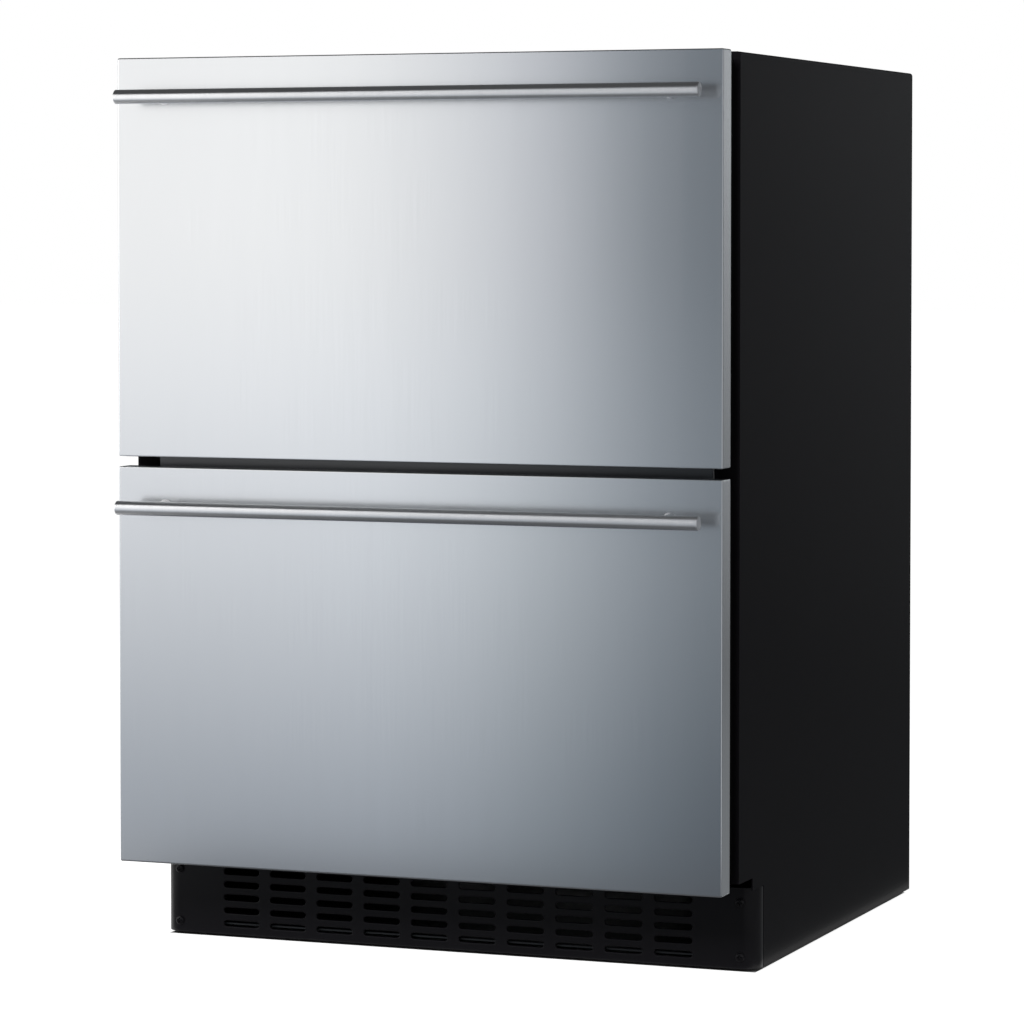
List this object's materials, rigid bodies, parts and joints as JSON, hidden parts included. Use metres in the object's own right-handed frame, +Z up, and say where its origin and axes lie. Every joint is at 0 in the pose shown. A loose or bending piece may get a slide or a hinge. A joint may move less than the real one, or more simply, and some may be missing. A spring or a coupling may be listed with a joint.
{
  "type": "undercounter drawer refrigerator",
  "caption": "Undercounter refrigerator with stacked full-extension drawers, stainless fronts, round bar handles, black cabinet and a set-back slotted kick plate.",
  "frame": {"origin": "on the floor, at the middle of the footprint with the handles", "axes": "+Z up, drawer fronts face -Y, +X to the right of someone facing the drawers"},
  "size_m": [0.6, 0.637, 0.8385],
  "materials": {
    "front_steel": "satin",
    "handle_steel": "satin",
    "cabinet_black": "satin",
    "black_plastic": "satin",
    "grey_plastic": "satin",
    "rubber": "matte",
    "liner_white": "satin",
    "bin_grey": "satin",
    "foam": "matte",
    "zinc_steel": "satin",
    "aluminium_fin": "satin",
    "copper_tube": "satin",
    "lens": "gloss",
    "display_black": "gloss"
  },
  "bodies": {
    "cabinet": {"outer_wrapper": "cabinet_black", "back_panel": "cabinet_black", "machine_cover": "cabinet_black", "kick_plate": "cabinet_black", "compressor": "cabinet_black", "kick_screw_lower_left": "cabinet_black", "kick_screw_lower_right": "cabinet_black", "kick_screw_upper_left": "cabinet_black", "kick_screw_upper_right": "cabinet_black", "cord_grommet": "rubber", "bulkhead": "zinc_steel", "base_pan": "zinc_steel", "condenser_fan_shroud": "zinc_steel", "foam_insulation": "foam", "inner_liner": "liner_white", "evaporator_cover": "liner_white", "mullion_bar": "grey_plastic", "evaporator_coil": "aluminium_fin", "condenser_coil": "copper_tube", "evaporator_fan_motor": "black_plastic", "condenser_fan_motor": "black_plastic", "drain_pan": "black_plastic", "control_housing": "black_plastic", "display_window": "display_black", "light_lens": "lens", "upper_slide_cabinet_member_left": "zinc_steel", "upper_slide_cabinet_member_right": "zinc_steel", "lower_slide_cabinet_member_left": "zinc_steel", "lower_slide_cabinet_member_right": "zinc_steel"},
    "upper_drawer": {"upper_front_panel": "front_steel", "upper_inner_door": "black_plastic", "upper_gasket": "rubber", "upper_handle_bar": "handle_steel", "upper_handle_post_left": "handle_steel", "upper_handle_post_right": "handle_steel", "upper_bin": "bin_grey", "upper_slide_drawer_member_left": "zinc_steel", "upper_slide_drawer_member_right": "zinc_steel"},
    "upper_slide_middle": {"upper_slide_middle_member_left": "zinc_steel", "upper_slide_middle_member_right": "zinc_steel"},
    "lower_drawer": {"lower_front_panel": "front_steel", "lower_inner_door": "black_plastic", "lower_gasket": "rubber", "lower_handle_bar": "handle_steel", "lower_handle_post_left": "handle_steel", "lower_handle_post_right": "handle_steel", "lower_bin": "bin_grey", "lower_slide_drawer_member_left": "zinc_steel", "lower_slide_drawer_member_right": "zinc_steel"},
    "lower_slide_middle": {"lower_slide_middle_member_left": "zinc_steel", "lower_slide_middle_member_right": "zinc_steel"},
    "evaporator_fan": {"evaporator_fan": "black_plastic"},
    "condenser_fan": {"condenser_fan": "black_plastic"},
    "button_power": {"button_power": "grey_plastic"},
    "button_colder": {"button_colder": "grey_plastic"},
    "button_warmer": {"button_warmer": "grey_plastic"},
    "levelling_foot_front_left": {"levelling_foot_front_left": "black_plastic"},
    "levelling_foot_front_right": {"levelling_foot_front_right": "black_plastic"},
    "levelling_foot_rear_left": {"levelling_foot_rear_left": "black_plastic"},
    "levelling_foot_rear_right": {"levelling_foot_rear_right": "black_plastic"}
  },
  "joints": [
    {"name": "upper_drawer_slide", "type": "slide", "parent": "cabinet", "child": "upper_drawer", "axis": [0, -1, 0], "range_m": [0, 0.42]},
    {"name": "upper_middle_slide", "type": "slide", "parent": "cabinet", "child": "upper_slide_middle", "axis": [0, -1, 0], "range_m": [0, 0.21]},
    {"name": "lower_drawer_slide", "type": "slide", "parent": "cabinet", "child": "lower_drawer", "axis": [0, -1, 0], "range_m": [0, 0.3]},
    {"name": "lower_middle_slide", "type": "slide", "parent": "cabinet", "child": "lower_slide_middle", "axis": [0, -1, 0], "range_m": [0, 0.15]},
    {"name": "evaporator_fan_spin", "type": "hinge", "parent": "cabinet", "child": "evaporator_fan", "pos_m": [0, 0.2495, 0.38], "axis": [0, -1, 0], "continuous": true},
    {"name": "condenser_fan_spin", "type": "hinge", "parent": "cabinet", "child": "condenser_fan", "pos_m": [-0.2, 0.2245, 0.101], "axis": [-1, 0, 0], "continuous": true},
    {"name": "button_power_press", "type": "slide", "parent": "cabinet", "child": "button_power", "axis": [0, 1, 0], "range_m": [0, 0.0012], "stiffness_N_per_m": 500, "springref_m": -0.0005},
    {"name": "button_colder_press", "type": "slide", "parent": "cabinet", "child": "button_colder", "axis": [0, 1, 0], "range_m": [0, 0.0012], "stiffness_N_per_m": 500, "springref_m": -0.0005},
    {"name": "button_warmer_press", "type": "slide", "parent": "cabinet", "child": "button_warmer", "axis": [0, 1, 0], "range_m": [0, 0.0012], "stiffness_N_per_m": 500, "springref_m": -0.0005},
    {"name": "levelling_foot_front_left_screw", "type": "slide", "parent": "cabinet", "child": "levelling_foot_front_left", "axis": [0, 0, -1], "range_m": [0, 0.025]},
    {"name": "levelling_foot_front_right_screw", "type": "slide", "parent": "cabinet", "child": "levelling_foot_front_right", "axis": [0, 0, -1], "range_m": [0, 0.025]},
    {"name": "levelling_foot_rear_left_screw", "type": "slide", "parent": "cabinet", "child": "levelling_foot_rear_left", "axis": [0, 0, -1], "range_m": [0, 0.025]},
    {"name": "levelling_foot_rear_right_screw", "type": "slide", "parent": "cabinet", "child": "levelling_foot_rear_right", "axis": [0, 0, -1], "range_m": [0, 0.025]}
  ],
  "couplings": [
    {"joint": "upper_middle_slide", "follows": "upper_drawer_slide", "ratio": 0.5},
    {"joint": "lower_middle_slide", "follows": "lower_drawer_slide", "ratio": 0.5}
  ]
}
